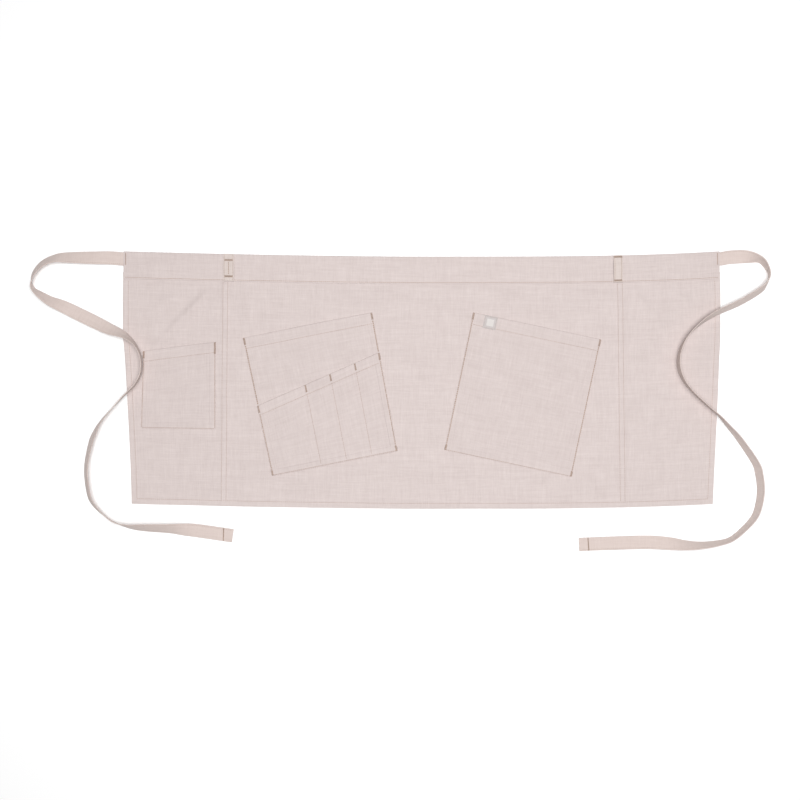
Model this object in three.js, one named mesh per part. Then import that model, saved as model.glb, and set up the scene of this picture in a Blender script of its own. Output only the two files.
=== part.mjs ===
// Waist apron of plain woven linen, laid out flat, face up: three joined panels, a folded
// waistband with a tie at each end, two belt loops, a phone pocket, a slanted tool pocket with a
// second layer of pen slots, a slanted hand pocket and a small woven label.
// Millimetres. +X runs along the waistband, +Y towards it, +Z up from the surface it lies on.
// The origin is under the middle of the apron's own box, without the ties.

import * as THREE from 'three';
import { mergeVertices } from 'three/addons/utils/BufferGeometryUtils.js';

// ---- Driving dimensions -------------------------------------------------------------------

const cloth = 0.6;                // one layer of the cloth
const gap = 0.3;                  // air between two layers that lie on each other
const hemDepth = 9;               // rolled hem along both sides and the bottom
const hemStitchMargin = 1;        // from the inner fold of a hem to its line of stitches
const seamAllowance = 10;         // doubled cloth beside a panel seam

const leftPanelWidth = 149;       // widths at the waistband
const centrePanelWidth = 599.5;
const rightPanelWidth = 146;
const apronHeight = 377.7;        // waistband included
const sideTaper = 11.3;           // how far each side edge comes in at the bottom
const sideTaperHeight = 247;      // the height of side edge that comes in
const leftSeamLean = 3;           // how far each panel seam runs outwards to the bottom
const rightSeamLean = 4.7;
const bow = 7.9;                  // the ends of the apron lie this much higher than its middle

const bandHeight = 41;
const bandInset = 1.2;            // the waistband stops this far inside the side edges
const bandOverlap = 10;           // how far the panels reach up inside the waistband
const liningThickness = 0.8;
const liningMargin = 2;           // round the stiffener, inside the band

const tieWidth = 20;
const tieThickness = 1.2;
const tieRoot = 14;               // how far each tie reaches into the end of the waistband
const tieDrop = 11.4;             // from the top of the band to the middle of the tie
const tieEndStitch = 14;          // from a tie's end to the stitch across it

const threadWidth = 0.8;
const threadHeight = 0.4;
const stitchInset = 2;            // from a pocket's edge to its stitch line
const sewnMargin = 5;             // from a pocket's edge to where its cloth starts to lift
const slotMargin = 1.5;           // and from a slot's stitch line
const seamStitchInset = 1.6;      // from a panel seam to its first line of stitches
const seamStitchSpacing = 7;      // and from there to the second

const barLength = 11;             // bar tacks at pocket corners and slots
const barWidth = 1.8;
const barHeight = 0.8;
const barInset = 0.6;             // from a pocket's mouth to the bar tacks that start there
const loopBarLength = 12;
const tieBarLength = 18;
const tieBarInset = 3;            // from the end of the waistband to the bar on it

// A belt loop lies over the band beside a panel seam. fromSeam is from the seam to its middle, its
// lift is measured from the band, and bars hold its feet: topBar is below the top edge of the band
// and bottomBar above its bottom edge.
const loopLift = 6.4;
const loopInset = 0.4;            // a loop stops this far inside the edges of the band
const leftLoop = { fromSeam: 9.65, width: 16, topBar: 9.6, bottomBar: 7.2 };
const rightLoop = { fromSeam: 7.45, width: 13.5, topBar: 2.6, bottomBar: 3 };

// A pocket is placed by the middle of its foot and turned about it. inwards is from the panel seam
// or side edge it is measured from, and below is from the middle height of the panels. gape is
// how far its mouth stands open, and hem is the depth of the turning at its mouth.
const toolPocket = {
  inwards: 168.55, below: 104.8, tilt: 11.2, footWidth: 191, mouthWidth: 197,
  leftHeight: 211.5, rightHeight: 211.5, hem: 17.5, gape: 6.2,
};
const handPocket = {
  inwards: 172.05, below: 104.9, tilt: -12, footWidth: 194.5, mouthWidth: 195.5,
  leftHeight: 211, rightHeight: 211, hem: 18.5, gape: 6.8,
};
const phonePocket = {
  inwards: 82.95, below: 52.6, tilt: -0.9, footWidth: 112, mouthWidth: 108.5,
  leftHeight: 115.5, rightHeight: 131, hem: 16.5, gape: 6.2,
};

// The pen slots' layer covers the foot of the tool pocket up to a slanted edge.
const slotLayer = {
  footWidth: toolPocket.footWidth, leftHeight: 107.5, rightHeight: 150.5, hem: 15.5, gape: 6.2,
};
const slotWidth = 38.6;
const slotCount = 3;
const openingShare = 0.7;         // share of a layer's height over which its mouth lifts open

const labelSide = 19.5;
const labelFromLeft = 18;         // from the hand pocket's left edge to the label

// The routes of the ties from where they leave the waistband, chosen by hand: how far beyond the
// end of the band, how far up, the roll in degrees (0 lies flat, 90 stands on edge) and the height
// of what the tie lies on there.
const leftTieRoute = [
  [21, 1.5, 4, 0.7], [44, 1.5, 14, 0.3], [89, 1.5, 36, 0.1], [104, -0.5, 48, 0.1],
  [117, -6, 51, 0.1], [127, -14.5, 54, 0.1], [133.5, -24.5, 60, 0.1], [135.5, -33.5, 70, 0.1],
  [134, -43, 88, 0.1], [126.5, -51, 108, 0.1], [110, -62.5, 130, 0.1], [89, -72, 154, 0.1],
  [66, -83.5, 166, 0.4], [44, -94, 164, 1.6], [21, -105, 146, 2.8], [4, -111.5, 126, 3.1],
  [-9, -119, 106, 3.1], [-20, -130, 90, 3.1], [-27, -144, 84, 3.1], [-29, -159, 82, 3.1],
  [-27, -174, 82, 3.1], [-20, -187.5, 84, 3.1], [-9, -199, 84, 3.1], [3, -211, 82, 2.6],
  [30, -241, 72, 0.5], [41, -259.5, 60, 0.1], [48, -277.5, 57, 0.1], [54.5, -313.5, 60, 0.1],
  [51, -349, 60, 0.1], [43.5, -367, 64, 0.1], [26, -384.5, 74, 0.1], [10.5, -394.5, 80, 0.1],
  [-9, -400, 68, 0.1], [-31, -402, 54, 0.1], [-69, -403.5, 42, 0.1], [-88, -405, 24, 0.1],
  [-108, -407, 6, 0.1], [-136, -411, 0, 0.1], [-163, -415, 0, 0.1],
];
const rightTieRoute = [
  [17, 2.5, 4, 0.7], [39, 2.5, 30, 0.2], [58.5, -2.5, 74, 0.1], [66.5, -10.5, 88, 0.1],
  [71.5, -20.5, 98, 0.1], [72, -29.5, 104, 0.1], [68, -38.5, 110, 0.1], [60, -47, 118, 0.1],
  [32, -64, 118, 0.5], [3, -77, 114, 2.6], [-10, -83.5, 112, 3.1], [-24, -92, 108, 3.1],
  [-40, -105, 102, 3.1], [-53, -120, 98, 3.1], [-61, -136.5, 94, 3.1], [-64, -151.5, 92, 3.1],
  [-62.5, -166.5, 92, 3.1], [-55.5, -183, 94, 3.1], [-43.5, -198, 96, 3.1], [-29, -212, 96, 3.1],
  [-15, -224.5, 96, 3.1], [-2, -236, 94, 2.8], [10.5, -250, 88, 1.6], [27, -269, 80, 0.5],
  [51.5, -305, 76, 0.1], [57, -322.5, 76, 0.1], [59.5, -343.5, 78, 0.1], [57.5, -363.5, 80, 0.1],
  [51, -384, 82, 0.1], [37, -401, 84, 0.1], [16, -418.5, 84, 0.1], [-6, -425, 76, 0.1],
  [-29, -428, 66, 0.1], [-52, -428, 50, 0.1], [-74, -426, 28, 0.1], [-111, -424.5, 8, 0.1],
  [-186, -427, 0, 0.1], [-210, -428, 0, 0.1],
];

// ---- Fineness of the meshes ------------------------------------------------------------------

const bandSteps = 20;             // along the waistband and the bottom hem
const panelStep = 38;             // across a panel, in millimetres
const pocketColumns = 12;
const slotColumns = 6;            // between two lines of slot stitches
const pocketRows = 10;
const archSteps = 12;             // over a belt loop
const barSteps = 4;
const taperSteps = 3;
const labelSteps = 4;
const tieSteps = 80;
const tieRibs = 4;                // across a tie, so that its two faces stay apart where it twists
const foldSteps = 4;              // round each quarter of the waistband's fold

// ---- Heights of the layers, from the surface up ---------------------------------------------

const panelBottom = cloth + gap;
const panelTop = panelBottom + cloth;
const bandFrontBottom = cloth + gap + tieThickness + gap;
const bandTop = bandFrontBottom + cloth;
const halfWidth = (leftPanelWidth + centrePanelWidth + rightPanelWidth) / 2;
const bandHalfLength = halfWidth - bandInset;
const topY = apronHeight / 2;
const bottomY = -apronHeight / 2;
const bandBottomY = topY - bandHeight;
const panelTopY = bandBottomY + bandOverlap;
const hemStitchInset = hemDepth - hemStitchMargin;

const leftSeamX = -halfWidth + leftPanelWidth;
const rightSeamX = halfWidth - rightPanelWidth;
const middleY = (bottomY + bandBottomY) / 2;
const toolPocketFoot = [leftSeamX + toolPocket.inwards, middleY - toolPocket.below];
const handPocketFoot = [rightSeamX - handPocket.inwards, middleY - handPocket.below];
const phonePocketFoot = [-halfWidth + phonePocket.inwards, middleY - phonePocket.below];

// ---- Materials ------------------------------------------------------------------------------

function fabric(colour, roughness) {
  return new THREE.MeshStandardMaterial({ color: colour, roughness, metalness: 0 });
}

const linen = fabric(0xdfd0cc, 0.92);
const tieTape = fabric(0xd8cac6, 0.92);
const stiffener = fabric(0xece8e2, 0.95);
const topThread = fabric(0xa88f7c, 0.7);
const tackThread = fabric(0x7d5f4b, 0.7);
const wovenLabel = fabric(0xcfc6c3, 0.8);

// ---- Building blocks --------------------------------------------------------------------------

const apron = new THREE.Group();

function addPiece(name, geometry, material) {
  geometry.deleteAttribute('normal');
  geometry.deleteAttribute('uv');
  const merged = mergeVertices(geometry, 1e-4);
  merged.computeVertexNormals();
  const mesh = new THREE.Mesh(merged, material);
  mesh.name = name;
  apron.add(mesh);
}

// Where a point of the flat pattern comes to lie: the ends of the apron are swept up a little.
function lay(x, y) {
  return [x, y + bow * ((x / halfWidth) ** 2 - 0.5)];
}

function between(a, b, share) {
  return a + (b - a) * share;
}

// Stations from 0 to 1 in equal steps.
function evenly(steps) {
  return Array.from({ length: steps + 1 }, (_, i) => i / steps);
}

// A closed sheet over a grid of stations. place(a, b) gives its plan, top and bottom its heights.
function sheet(columns, rows, place, top, bottom) {
  const geometry = new THREE.BoxGeometry(1, 1, 1, columns.length - 1, rows.length - 1, 1);
  const position = geometry.attributes.position;
  for (let i = 0; i < position.count; i += 1) {
    const a = columns[Math.round((position.getX(i) + 0.5) * (columns.length - 1))];
    const b = rows[Math.round((position.getY(i) + 0.5) * (rows.length - 1))];
    const [x, y] = place(a, b);
    position.setXYZ(i, x, y, position.getZ(i) > 0 ? top(a, b) : bottom(a, b));
  }
  return geometry;
}

// A flat strip of thread along a path on a surface, mitred where the path turns.
function strip(surface, path, width, height) {
  const centres = path.map(([a, b]) => new THREE.Vector2(...surface.place(a, b)));
  const directions = centres.slice(1).map((c, i) => c.clone().sub(centres[i]).normalize());
  const geometry = new THREE.BoxGeometry(1, 1, 1, path.length - 1, 1, 1);
  const position = geometry.attributes.position;
  for (let i = 0; i < position.count; i += 1) {
    const k = Math.round((position.getX(i) + 0.5) * (path.length - 1));
    const arriving = directions[Math.max(k - 1, 0)];
    const leaving = directions[Math.min(k, directions.length - 1)];
    const along = arriving.clone().add(leaving).normalize();
    const aside = (position.getY(i) * width) / along.dot(arriving);
    const lift = surface.top(...path[k]) + gap + (position.getZ(i) > 0 ? height : 0);
    position.setXYZ(i, centres[k].x - along.y * aside, centres[k].y + along.x * aside, lift);
  }
  return geometry;
}

function straightPath(from, to, steps) {
  return evenly(steps).map((t) => [between(from[0], to[0], t), between(from[1], to[1], t)]);
}

function addThread(name, surface, path) {
  addPiece(name, strip(surface, path, threadWidth, threadHeight), topThread);
}

function addBar(name, surface, from, to) {
  addPiece(name, strip(surface, straightPath(from, to, barSteps), barWidth, barHeight), tackThread);
}

// ---- Panels -----------------------------------------------------------------------------------

function down(y) {
  return (topY - y) / apronHeight;
}

function sideEdge(y) {
  const share = Math.max(0, (bottomY + sideTaperHeight - y) / sideTaperHeight);
  return halfWidth - sideTaper * share;
}

function leftSeam(y) {
  return leftSeamX - leftSeamLean * down(y);
}

function rightSeam(y) {
  return rightSeamX + rightSeamLean * down(y);
}

const bodySurface = { place: lay, top: () => panelTop };
const bandSurface = { place: lay, top: () => bandTop };

// A panel between two upright edges. Its cloth is thick, down to the surface, along the bottom
// hem and beside the edges that are hemmed or felled, and stops inside the waistband at the top.
function addPanel(name, leftEdge, rightEdge, leftTurning, rightTurning, width) {
  const step = gap / width;
  const leftEnd = leftTurning / width;
  const rightEnd = 1 - rightTurning / width;
  const columns = [0];
  if (leftTurning > 0) columns.push(leftEnd, leftEnd + step);
  const steps = evenly(Math.round(width / panelStep)).slice(1, -1);
  steps.forEach((t) => columns.push(between(leftEnd + step, rightEnd - step, t)));
  if (rightTurning > 0) columns.push(rightEnd - step, rightEnd);
  columns.push(1);
  const hemTop = bottomY + hemDepth;
  const taperStart = bottomY + sideTaperHeight;
  const belowBand = bandBottomY - gap;
  const sloping = evenly(taperSteps).map((t) => between(hemTop + gap, taperStart, t));
  const rows = [bottomY, hemTop, ...sloping, belowBand - gap, belowBand, panelTopY];
  const place = (a, y) => lay(between(leftEdge(y), rightEdge(y), a), y);
  const turned = (a) => (leftTurning > 0 && a <= leftEnd) || (rightTurning > 0 && a >= rightEnd);
  const bottom = (a, y) => (y < belowBand - gap / 2 && (turned(a) || y <= hemTop) ? 0 : panelBottom);
  addPiece(name, sheet(columns, rows, place, () => panelTop, bottom), linen);
}

function addPanels() {
  const half = gap / 2;
  addPanel('left_panel', (y) => -sideEdge(y), (y) => leftSeam(y) - half, hemDepth, 0, leftPanelWidth);
  addPanel('centre_panel', (y) => leftSeam(y) + half, (y) => rightSeam(y) - half,
    seamAllowance, seamAllowance, centrePanelWidth);
  addPanel('right_panel', (y) => rightSeam(y) + half, sideEdge, 0, hemDepth, rightPanelWidth);
}

// ---- Waistband --------------------------------------------------------------------------------

// One strip of cloth folded over at the top: its back lies on the surface and its front on top.
function addWaistband() {
  const outer = bandTop / 2;
  const inner = outer - cloth;
  const fold = topY - outer;
  const section = new THREE.Shape();
  section.moveTo(bandBottomY, 0);
  section.lineTo(fold, 0);
  section.absarc(fold, outer, outer, -Math.PI / 2, Math.PI / 2, false);
  section.lineTo(bandBottomY, bandTop);
  section.lineTo(bandBottomY, bandFrontBottom);
  section.lineTo(fold, bandFrontBottom);
  section.absarc(fold, outer, inner, Math.PI / 2, -Math.PI / 2, true);
  section.lineTo(bandBottomY, cloth);
  section.closePath();
  const geometry = new THREE.ExtrudeGeometry(section, {
    depth: 2 * bandHalfLength, steps: bandSteps, bevelEnabled: false, curveSegments: foldSteps,
  });
  const position = geometry.attributes.position;
  for (let i = 0; i < position.count; i += 1) {
    const [x, y] = lay(position.getZ(i) - bandHalfLength, position.getX(i));
    position.setXYZ(i, x, y, position.getY(i));
  }
  addPiece('waistband', geometry, linen);
}

function addInterlining() {
  const end = bandHalfLength - tieRoot - liningMargin;
  const columns = evenly(bandSteps).map((t) => between(-end, end, t));
  const rows = [panelTopY + gap, topY - cloth - liningMargin];
  const top = () => panelBottom + liningThickness;
  addPiece('waistband_interlining', sheet(columns, rows, lay, top, () => panelBottom), stiffener);
}

// ---- Belt loops ---------------------------------------------------------------------------------

// Heights on a loop are measured down from the top edge of the band.
function addBeltLoop(name, middle, loop) {
  const lowest = bandTop + gap + threadHeight + gap;
  const thickness = 2 * cloth;
  const bars = { top: loop.topBar, bottom: bandHeight - loop.bottomBar };
  const archMiddle = (bars.top + bars.bottom) / 2;
  const archHalf = (bars.bottom - bars.top - barWidth) / 2;
  const arch = evenly(archSteps).map((t) => archMiddle - archHalf * Math.cos(t * Math.PI));
  const rise = (fromTop) => {
    const share = Math.min(1, Math.abs(fromTop - archMiddle) / archHalf);
    return loopLift * Math.sqrt(1 - share ** 2);
  };
  const rows = [loopInset, ...arch, bandHeight - loopInset].reverse();
  const columns = [middle - loop.width / 2, middle + loop.width / 2];
  const place = (x, fromTop) => lay(x, topY - fromTop);
  const bottom = (x, fromTop) => lowest + rise(fromTop);
  const top = (x, fromTop) => bottom(x, fromTop) + thickness;
  addPiece(name, sheet(columns, rows, place, top, bottom), linen);
  const surface = { place, top: () => lowest + thickness };
  Object.entries(bars).forEach(([end, fromTop]) => {
    addBar(`${name}_${end}_bar`, surface, [middle - loopBarLength / 2, fromTop],
      [middle + loopBarLength / 2, fromTop]);
  });
}

// ---- Pockets ------------------------------------------------------------------------------------

// A surface that rises from 0 at both ends of a span to 1 at its middle, steeply at first.
function swell(share) {
  const inside = Math.min(1, Math.max(0, share));
  return Math.sqrt(4 * inside * (1 - inside));
}

// A pocket's layer over what lies under it: a across from 0 to 1, b up from foot (0) to mouth (1).
// seams are the shares across where it is sewn down, and the layer lies flat close to each.
function pocketLayer([footX, footY], pocket, layer, seams, under) {
  const tilt = THREE.MathUtils.degToRad(pocket.tilt);
  const height = (a) => between(layer.leftHeight, layer.rightHeight, a);
  const full = (a) => between(pocket.leftHeight, pocket.rightHeight, a);
  const margins = seams.map((_, i) => (i === 0 || i === seams.length - 1 ? sewnMargin : slotMargin));
  const spans = seams.slice(1).map((seam, i) => [
    seams[i] + margins[i] / pocket.footWidth, seam - margins[i + 1] / pocket.footWidth]);
  const place = (a, b) => {
    const up = b * height(a);
    const u = (a - 0.5) * between(pocket.footWidth, pocket.mouthWidth, up / full(a));
    return [footX + u * Math.cos(tilt) - up * Math.sin(tilt),
      footY + u * Math.sin(tilt) + up * Math.cos(tilt)];
  };
  const rise = (a, b) => {
    const up = Math.min(1, Math.max(0, b * height(a) - sewnMargin) / (openingShare * height(a)));
    const lift = Math.max(...spans.map(([from, to]) => swell((a - from) / (to - from))));
    return layer.gape * lift * up * (2 - up);
  };
  const bottom = (a, b) => under(a, b * height(a)) + gap + rise(a, b);
  const top = (a, b) => bottom(a, b) + cloth;
  return { place, top, bottom, height, spans };
}

// Stations across a layer, closer together where its cloth rises from a seam.
function across(spans, seams, stepsPerSpan) {
  const rounded = evenly(stepsPerSpan).map((t) => (1 - Math.cos(t * Math.PI)) / 2);
  const inside = spans.flatMap(([from, to]) => rounded.map((t) => between(from, to, t)));
  return [...inside, ...seams].sort((a, b) => a - b);
}

// Rows from foot to mouth, with a line where the sewn foot ends.
function climb(layer, steps) {
  const sewn = sewnMargin / layer.leftHeight;
  return [0, sewn, ...evenly(steps).slice(1).map((t) => between(sewn, 1, t))];
}

function onPanel() {
  return panelTop;
}

// A line of stitches along the lower edge of a layer's hem, from one outline stitch to the other.
function hemPath(layer, surface, columns) {
  const inset = (stitchInset + threadWidth) / layer.footWidth;
  const inner = columns.filter((a) => a > inset && a < 1 - inset);
  return [inset, ...inner, 1 - inset].map((a) => [a, 1 - layer.hem / surface.height(a)]);
}

// The outline stitch leaves the mouth open, and the hem stitch holds the turning at the mouth.
// stops(a) are the levels up a side where the stitch steps down from one layer to the next.
function addPocketStitching(name, pocket, surface, columns, stops = () => []) {
  const inset = stitchInset / pocket.footWidth;
  const foot = stitchInset / surface.height(0.5);
  const side = (a) => [foot, ...stops(a), 1 - (barLength + gap * 2) / surface.height(a)].map((b) => [a, b]);
  addThread(`${name}_stitch`, surface, [...side(inset).reverse(), ...side(1 - inset)]);
  addThread(`${name}_hem_stitch`, surface, hemPath(pocket, surface, columns));
}

// A bar that runs down from the upper edge of a layer.
function addEdgeBar(name, surface, a) {
  const height = surface.height(a);
  addBar(name, surface, [a, 1 - barLength / height], [a, 1 - barInset / height]);
}

function addTopBars(name, pocket, surface) {
  const inset = stitchInset / pocket.footWidth;
  addEdgeBar(`${name}_top_left_bar`, surface, inset);
  addEdgeBar(`${name}_top_right_bar`, surface, 1 - inset);
}

function addFootBars(name, pocket, surface) {
  const aside = (stitchInset + threadWidth + barWidth / 2) / pocket.footWidth;
  [['left', aside], ['right', 1 - aside]].forEach(([side, a]) => {
    addBar(`${name}_foot_${side}_bar`, surface, [a, sewnMargin / surface.height(a)],
      [a, (sewnMargin + barLength) / surface.height(a)]);
  });
}

function addPlainPocket(name, foot, pocket) {
  const surface = pocketLayer(foot, pocket, pocket, [0, 1], onPanel);
  const columns = across(surface.spans, [0, 1], pocketColumns);
  const rows = climb(pocket, pocketRows);
  addPiece(name, sheet(columns, rows, surface.place, surface.top, surface.bottom), linen);
  addPocketStitching(name, pocket, surface, columns);
  addTopBars(name, pocket, surface);
  return surface;
}

function addToolPocket() {
  const seams = [0];
  for (let k = slotCount; k >= 0; k -= 1) seams.push(1 - (k * slotWidth) / toolPocket.footWidth);
  const back = pocketLayer(toolPocketFoot, toolPocket, toolPocket, [0, 1], onPanel);
  const onBack = (a, up) => back.top(a, up / back.height(a));
  const front = pocketLayer(toolPocketFoot, toolPocket, slotLayer, seams, onBack);
  const columns = across(front.spans, seams, slotColumns);
  const backRows = climb(toolPocket, pocketRows);
  addPiece('tool_pocket', sheet(columns, backRows, back.place, back.top, back.bottom), linen);
  addPiece('pen_slot_layer',
    sheet(columns, climb(slotLayer, pocketRows), front.place, front.top, front.bottom), linen);

  // The outline stitch runs over the slot layer at the foot and over the pocket above it.
  const lip = 2 * gap;
  const covered = (a, up) => up <= front.height(a) + lip;
  const stops = (a) => [-gap / 2, lip].map((past) => (front.height(a) + lip + past) / back.height(a));
  const outline = {
    ...back,
    top: (a, b) => {
      const up = b * back.height(a);
      return covered(a, up) ? front.top(a, Math.min(1, up / front.height(a))) : back.top(a, b);
    },
  };
  addPocketStitching('tool_pocket', toolPocket, outline, columns, stops);
  addTopBars('tool_pocket', toolPocket, back);
  addFootBars('tool_pocket', toolPocket, front);

  addThread('slot_layer_hem_stitch', front, hemPath(slotLayer, front, columns));
  seams.slice(1, -1).forEach((a, k) => {
    const foot = (stitchInset + threadWidth + gap) / front.height(a);
    const start = 1 - (slotLayer.hem + threadWidth + gap) / front.height(a);
    addThread(`slot_${k + 1}_stitch`, front, straightPath([a, start], [a, foot], pocketRows));
    addEdgeBar(`slot_${k + 1}_bar`, front, a);
  });
  const aside = (stitchInset + threadWidth + barWidth / 2) / toolPocket.footWidth;
  [['left', aside], ['right', 1 - aside]].forEach(([side, a]) => {
    addEdgeBar(`slot_layer_${side}_bar`, front, a);
  });
}

// The label is sewn over the hem of the hand pocket's mouth.
function addLabel(surface) {
  const left = labelFromLeft / handPocket.mouthWidth;
  const right = left + labelSide / handPocket.mouthWidth;
  const columns = evenly(labelSteps).map((t) => between(left, right, t));
  const lowest = 1 - (labelSide + gap) / surface.height(0);
  const rows = evenly(labelSteps).map((t) => between(lowest, 1 - gap / surface.height(0), t));
  const lift = gap + threadHeight + gap;
  const bottom = (a, b) => surface.top(a, b) + lift;
  const top = (a, b) => bottom(a, b) + cloth;
  addPiece('woven_label', sheet(columns, rows, surface.place, top, bottom), wovenLabel);
}

// ---- Seams and hems of the body -----------------------------------------------------------------

function addBodyStitching() {
  const low = bottomY + hemStitchInset;
  const high = bandBottomY - gap - threadWidth;
  const side = (sign) => (y) => [sign * (sideEdge(y) - hemStitchInset), y];
  const bottomHalf = sideEdge(low) - hemStitchInset;
  const heights = [high, bottomY + sideTaperHeight, low];
  addThread('hem_stitch', bodySurface, [
    ...heights.map(side(-1)),
    ...straightPath([-bottomHalf, low], [bottomHalf, low], bandSteps).slice(1, -1),
    ...[...heights].reverse().map(side(1)),
  ]);
  [['left', leftSeam, 1], ['right', rightSeam, -1]].forEach(([name, seam, inwards]) => {
    [0, 1].forEach((line) => {
      const inset = seamStitchInset + line * seamStitchSpacing;
      const stop = low + threadWidth + gap;
      const path = [high, stop].map((y) => [seam(y) + inwards * inset, y]);
      addThread(`${name}_seam_stitch_${line + 1}`, bodySurface, path);
    });
  });
  const bandLine = bandBottomY + stitchInset;
  const end = bandHalfLength - stitchInset;
  addThread('waistband_stitch', bandSurface, straightPath([-end, bandLine], [end, bandLine], bandSteps));
}

function addTieBars() {
  [['left', -1], ['right', 1]].forEach(([name, sign]) => {
    const x = sign * (bandHalfLength - tieBarInset);
    addBar(`${name}_tie_bar`, bandSurface, [x, topY - tieDrop - tieBarLength / 2],
      [x, topY - tieDrop + tieBarLength / 2]);
  });
}

// ---- Ties ---------------------------------------------------------------------------------------

const upright = new THREE.Vector3(0, 0, 1);

function smooth(points) {
  return new THREE.CatmullRomCurve3(points, false, 'catmullrom', 0.5);
}

// The stops of a tie: its root inside the waistband, where it leaves the band, then its route.
function tieStops(route, sign) {
  const floor = cloth + gap;
  return [[-tieRoot, 0, 0, floor], [0, 0, 0, floor], ...route].map(([beyond, up, roll, height]) => {
    const [x, y] = lay(sign * bandHalfLength, topY - tieDrop);
    return { centre: new THREE.Vector3(x + sign * beyond, y + up, height), roll };
  });
}

// Gives a tie's centre and its two cross directions at a share of its course.
function tieCourse(stops) {
  const centreCurve = smooth(stops.map((stop) => stop.centre));
  const rollCurve = smooth(stops.map((stop) => new THREE.Vector3(stop.roll, 0, 0)));
  return (share) => {
    const roll = THREE.MathUtils.degToRad(rollCurve.getPoint(share).x);
    const sin = Math.sin(roll);
    const cos = Math.cos(roll);
    const centre = centreCurve.getPoint(share);
    centre.z += (Math.abs(sin) * tieWidth + Math.abs(cos) * tieThickness) / 2;
    const ahead = centreCurve.getTangent(share);
    const aside = new THREE.Vector3(-ahead.y, ahead.x, 0).normalize();
    const across = aside.clone().multiplyScalar(cos).addScaledVector(upright, sin);
    const through = upright.clone().multiplyScalar(cos).addScaledVector(aside, -sin);
    return { centre, across, through };
  };
}

function addTie(name, route, sign) {
  const stops = tieStops(route, sign);
  const course = tieCourse(stops);
  const w = tieWidth / 2;
  const t = tieThickness / 2;
  const chamfer = tieThickness / 3;
  const flat = evenly(tieRibs).map((share) => between(-w + chamfer, w - chamfer, share));
  const corners = [
    ...flat.map((x) => [x, -t]), [w, -t + chamfer], [w, t - chamfer],
    ...flat.map((x) => [-x, t]), [-w, t - chamfer], [-w, -t + chamfer],
  ];
  const section = new THREE.Shape(corners.map(([x, y]) => new THREE.Vector2(x, y)));
  const geometry = new THREE.ExtrudeGeometry(section, { depth: 1, steps: tieSteps, bevelEnabled: false });
  const position = geometry.attributes.position;
  for (let i = 0; i < position.count; i += 1) {
    const { centre, across, through } = course(position.getZ(i));
    centre.addScaledVector(across, position.getX(i)).addScaledVector(through, position.getY(i));
    position.setXYZ(i, centre.x, centre.y, centre.z);
  }
  addPiece(name, geometry, tieTape);

  // The stitch across the folded end, where the tie lies flat.
  const [before, end] = stops.slice(-2).map((stop) => stop.centre);
  const back = before.clone().sub(end).setZ(0).normalize();
  const seam = end.clone().addScaledVector(back, tieEndStitch);
  const surface = {
    place: (a) => [seam.x - back.y * a, seam.y + back.x * a],
    top: () => end.z + tieThickness,
  };
  const half = tieWidth / 2 - threadWidth / 2;
  addPiece(`${name}_end_stitch`,
    strip(surface, [[-half, 0], [half, 0]], barWidth, threadHeight), tackThread);
}

// ---- Assembly -----------------------------------------------------------------------------------

addPanels();
addWaistband();
addInterlining();
addBeltLoop('left_belt_loop', leftSeamX + leftLoop.fromSeam, leftLoop);
addBeltLoop('right_belt_loop', rightSeamX - rightLoop.fromSeam, rightLoop);
addPlainPocket('phone_pocket', phonePocketFoot, phonePocket);
addToolPocket();
const handSurface = addPlainPocket('hand_pocket', handPocketFoot, handPocket);
addFootBars('hand_pocket', handPocket, handSurface);
addLabel(handSurface);
addBodyStitching();
addTieBars();
addTie('left_tie', leftTieRoute, -1);
addTie('right_tie', rightTieRoute, 1);

export default apron;
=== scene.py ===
# Waist apron of plain-woven linen, laid out flat: three felled panels, a stiffened waistband with a
# long tie at each end, belt loops, a phone pocket, a slanted tool pocket with pen slots over its
# foot, a slanted hand pocket and a small woven label.

import math
import bpy
import numpy as np
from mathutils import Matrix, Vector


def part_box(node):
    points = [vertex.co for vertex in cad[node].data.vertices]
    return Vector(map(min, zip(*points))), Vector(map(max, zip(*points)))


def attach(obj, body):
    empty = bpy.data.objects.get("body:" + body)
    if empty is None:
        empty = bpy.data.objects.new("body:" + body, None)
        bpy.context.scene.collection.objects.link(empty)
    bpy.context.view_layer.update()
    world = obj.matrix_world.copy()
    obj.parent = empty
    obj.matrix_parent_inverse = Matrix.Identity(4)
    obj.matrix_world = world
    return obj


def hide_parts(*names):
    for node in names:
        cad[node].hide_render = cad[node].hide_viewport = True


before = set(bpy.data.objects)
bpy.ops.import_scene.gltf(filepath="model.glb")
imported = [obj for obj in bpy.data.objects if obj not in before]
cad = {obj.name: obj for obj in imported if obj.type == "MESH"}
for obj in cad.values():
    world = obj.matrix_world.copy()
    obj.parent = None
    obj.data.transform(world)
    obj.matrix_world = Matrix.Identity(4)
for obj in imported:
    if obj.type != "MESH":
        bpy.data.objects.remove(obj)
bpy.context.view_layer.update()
MM = 0.001

# ---- Sizes, in millimetres, as the part has them -------------------------------------------------

CLOTH = 0.6                 # one layer of the linen
GAP = 0.3                   # air between two layers that lie on each other
LIFT = 0.12                 # a stitch's middle above the face that it is sewn through
HEM = 9.0
HEM_STITCH = 8.0            # from the edge to the hem's line of stitches
SEAM_ALLOWANCE = 10.0
SEAM_STITCHES = (1.6, 8.6)  # from a panel seam to its two lines of stitches
SEAM_LAP = 0.8              # how far a side panel passes its seam, under the centre panel's edge
TAPER_HEIGHT = 247.0        # above the bottom, where the sides start to draw in
LEFT_TAPER, RIGHT_TAPER = 13.6, 11.3
LEFT_TAPER_POWER = 0.68     # under 1: the left side draws in soon and then runs straight
LEFT_LEAN, RIGHT_LEAN = 3.0, 4.7  # how far each panel seam runs outwards to the bottom
BOW = 7.9                   # the ends of the apron lie this much higher than its middle
LEFT_BOW_POWER, RIGHT_BOW_POWER = 1.6, 3.5  # the higher, the nearer to its end a side sweeps up
BAND = 41.0
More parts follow.
